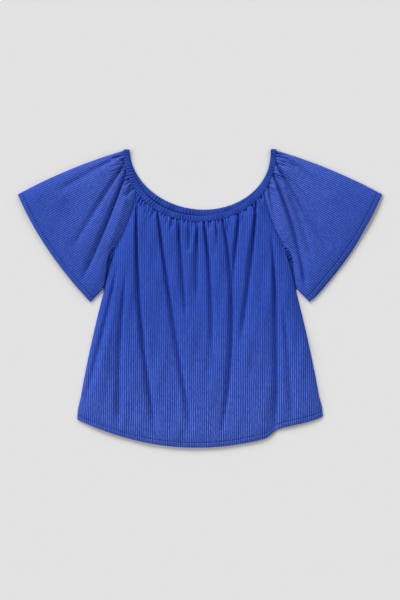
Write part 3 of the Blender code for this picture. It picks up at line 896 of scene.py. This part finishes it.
def allowance_sheet(side):
    """Points of the ruffled ribbon of seam allowance in one armpit's slot."""
    rows = []
    for s in np.linspace(0.0, 1.0, ALLOWANCE_GRID[0] + 1):
        centre = np.array(through(ALLOWANCE_LINE, s))
        ahead = np.array(through(ALLOWANCE_LINE, min(s + 0.02, 1.0)))
        way = ahead - np.array(through(ALLOWANCE_LINE, max(s - 0.02, 0.0)))
        across = np.array((-way[1], way[0])) / np.linalg.norm(way)
        taper = 0.12 + 0.88 * math.sin(math.pi * min(s * 1.1 + 0.02, 1.0)) ** 0.6
        half_width = ALLOWANCE_HALF_WIDTH * taper
        wave = ALLOWANCE_LENGTH * s * 2.0 * math.pi / ALLOWANCE_WAVE + 1.6 * math.sin(9.0 * s + side)
        row = []
        for t in np.linspace(-1.0, 1.0, ALLOWANCE_GRID[1] + 1):
            x, y = centre + across * t * half_width
            ruffle = ALLOWANCE_RUFFLE * math.sin(wave + 1.4 * t)
            ruffle += ALLOWANCE_FLUTTER * math.sin(2.3 * wave - 2.0 * t)
            rise = ruffle * (0.5 + 0.5 * math.sin(math.pi * s))
            row.append((side * x, y, ALLOWANCE_HEIGHT + rise - ALLOWANCE_FALL * s))
        rows.append(row)
    return np.array(rows)


def seam_allowance(name, side, seed):
    """Ruffled allowance of the underarm's seams, which shows in the slot between body and sleeve."""
    sheet = allowance_sheet(side)
    fray = 0.4 * np.random.default_rng(seed).standard_normal(sheet.shape[:2])
    cut = np.stack([sheet[..., 0] * 1.3 + fray, sheet[..., 1]], axis=-1)
    piece = add_cloth(name, sheet, cut, mirrored=side > 0)
    # The allowance takes the cotton darkened as painted shade, to read dark in the slot
    finish_sheet(piece, None, cotton_materials()["shade_darkened_cotton"])
    return piece


def close_underarm(piece):
    """Merge the two edges of the underarm seam, which lie in one place."""
    make_active(piece)
    bpy.ops.object.mode_set(mode="EDIT")
    bpy.ops.mesh.select_all(action="SELECT")
    bpy.ops.mesh.remove_doubles(threshold=0.00001)
    bpy.ops.object.mode_set(mode="OBJECT")


def band_stations():
    """Places along the neckband: its curve, the turn along it and the angle of its fold.

    The angle is 0 on the front half, 180 degrees on the back half, and turns between them at the
    two shoulder folds.
    """
    half_turn = [math.pi * step / BAND_FOLD_STEPS for step in range(1, BAND_FOLD_STEPS)]
    shares = [step / BAND_STEPS for step in range(BAND_STEPS + 1)]
    stations = [(FRONT_NECK, turn, 0.0) for turn in shares]
    stations += [(FRONT_NECK, 1.0, angle) for angle in half_turn]
    stations += [(BACK_NECK, turn, math.pi) for turn in shares[::-1]]
    stations += [(BACK_NECK, 0.0, angle) for angle in half_turn[::-1]]
    return stations


def band_sheet():
    """Points and cut of the neckband: a flattened tube that runs round the shoulders."""
    stations = band_stations()
    middle = np.array([neck_point(neck, 0.5 * BAND_WIDTH, turn) for neck, turn, _ in stations])
    fold_step = math.pi * (BAND_HOLLOW + BAND_THICKNESS) / BAND_FOLD_STEPS
    fold_run = [fold_step * (0.0 < angle < math.pi) for *_, angle in stations]
    run = np.cumsum(np.hypot(*np.diff(middle, axis=0, prepend=middle[:1]).T) + fold_run)
    rng = np.random.default_rng(5)
    rib_phase = run * 2.0 * math.pi / RIB_PITCH
    for _ in range(8):
        rib_phase += 0.6 * np.sin(run / rng.uniform(5.0, 30.0) + rng.uniform(0.0, 6.3))
    strength = 0.60 + 0.40 * np.sin(run / 8.7 + 2.0 * np.sin(run / 27.0))
    rows, cuts = [], []
    for index, (neck, turn, angle) in enumerate(stations):
        row, cut = [], []
        on_front = angle < 0.5 * math.pi
        for step in range(BAND_SECTION):
            around = 2.0 * math.pi * step / BAND_SECTION
            across = math.copysign(abs(math.cos(around)) ** 0.85, math.cos(around))
            up = math.sin(around)
            groove = abs(math.sin(0.5 * rib_phase[index] + 0.45 * across))
            rib = (RIB_GROOVE * groove - RIB_FLOOR) * strength[index]
            swell = RIB_HEIGHT * rib * max(up if on_front else -up, 0.0)
            out = 0.5 * BAND_WIDTH * (1.0 + across * (1.0 + 0.03 * rib))
            reach = BAND_HOLLOW + 0.5 * BAND_THICKNESS * (1.0 + up)
            reach += swell if on_front else -swell
            x, y = neck_point(neck, out, turn)
            height = max(BAND_MIDDLE + reach * math.cos(angle), 0.02)
            row.append((x, y + reach * math.sin(angle), height))
            cut.append((run[index] * BAND_FULLNESS + 0.5 * rib, around * BAND_WIDTH / math.pi))
        rows.append(row)
        cuts.append(cut)
    return np.array(rows), np.array(cuts)


class BLOUSE_OT_neckband(bpy.types.Operator):
    """Run the gathered casing of the elastic round the shoulders"""

    bl_idname = "blouse.neckband"
    bl_label = "Neckband"

    def execute(self, context):
        sheet, cut = band_sheet()
        piece = add_cloth("neckband_casing", sheet, cut, ring=True)
        # The casing takes the cotton darkened as painted shade of its gathers
        finish_sheet(piece, "neckband", cotton_materials()["shade_darkened_cotton"])
        return {"FINISHED"}


class BLOUSE_OT_studio(bpy.types.Operator):
    """Set the floor, the soft light and the camera straight above"""

    bl_idname = "blouse.studio"
    bl_label = "Studio"

    def execute(self, context):
        studio = context.scene.blouse_studio
        bpy.ops.mesh.primitive_plane_add(size=8.0, location=(0.0, 0.0, -0.0002))
        floor = context.object
        floor.name = "floor"
        paper = bpy.data.materials.new("matt_paper")
        paper.use_nodes = True
        shader = paper.node_tree.nodes["Principled BSDF"]
        shader.inputs["Base Color"].default_value = linear(studio.floor)
        shader.inputs["Roughness"].default_value = 0.9
        shader.inputs["Specular IOR Level"].default_value = 0.1
        floor.data.materials.append(paper)
        world = bpy.data.worlds.new("studio_air")
        world.use_nodes = True
        world.node_tree.nodes["Background"].inputs["Color"].default_value = (1.0, 1.0, 1.0, 1.0)
        world.node_tree.nodes["Background"].inputs["Strength"].default_value = studio.ambient
        context.scene.world = world
        for name, azimuth, share in LIGHTS:
            turn = math.radians(azimuth)
            place = (-math.sin(turn), math.cos(turn), math.tan(math.radians(LIGHT_ELEVATION)))
            bpy.ops.object.light_add(type="SUN", location=place)
            light = context.object
            light.name = name
            light.data.angle = math.radians(LIGHT_WIDTH)
            light.data.energy = studio.lights * share
            light.rotation_euler = (-light.location).to_track_quat("-Z", "Y").to_euler()
        bpy.ops.object.camera_add(location=(0.0, -0.0034, studio.view_height * studio.lens / 36.0))
        camera = context.object
        camera.name = "camera_above"
        camera.data.sensor_fit = "VERTICAL"
        camera.data.sensor_height = 36.0
        camera.data.lens = studio.lens
        camera.rotation_euler = (0.0, 0.0, 0.0)
        context.scene.camera = camera
        context.scene.view_settings.view_transform = "Standard"
        return {"FINISHED"}


class BLOUSE_PT_panel(bpy.types.Panel):
    """Sizes, colours and steps of the blouse"""

    bl_idname = "BLOUSE_PT_panel"
    bl_label = "Blouse"
    bl_space_type = "VIEW_3D"
    bl_region_type = "UI"
    bl_category = "Blouse"

    def draw(self, context):
        column = self.layout.column()
        for group in (context.scene.blouse_cloth, context.scene.blouse_studio):
            for name in type(group).__annotations__:
                column.prop(group, name)
        for operator in OPERATORS:
            column.operator(operator.bl_idname)


GROUPS = (BlouseCloth, BlouseStudio)
OPERATORS = (
    BLOUSE_OT_back,
    BLOUSE_OT_front,
    BLOUSE_OT_sleeves,
    BLOUSE_OT_neckband,
    BLOUSE_OT_studio,
)


def register():
    """Register the classes and hang the settings on the scene."""
    for item in GROUPS + OPERATORS + (BLOUSE_PT_panel,):
        bpy.utils.register_class(item)
    bpy.types.Scene.blouse_cloth = PointerProperty(type=BlouseCloth)
    bpy.types.Scene.blouse_studio = PointerProperty(type=BlouseStudio)


def unregister():
    """Take the settings and the classes away again."""
    del bpy.types.Scene.blouse_studio
    del bpy.types.Scene.blouse_cloth
    for item in reversed(GROUPS + OPERATORS + (BLOUSE_PT_panel,)):
        bpy.utils.unregister_class(item)


def main():
    """Make the blouse and its studio, piece by piece."""
    register()
    bpy.ops.blouse.back()
    bpy.ops.blouse.front()
    bpy.ops.blouse.sleeves()
    bpy.ops.blouse.neckband()
    bpy.ops.blouse.studio()


if __name__ == "__main__":
    main()
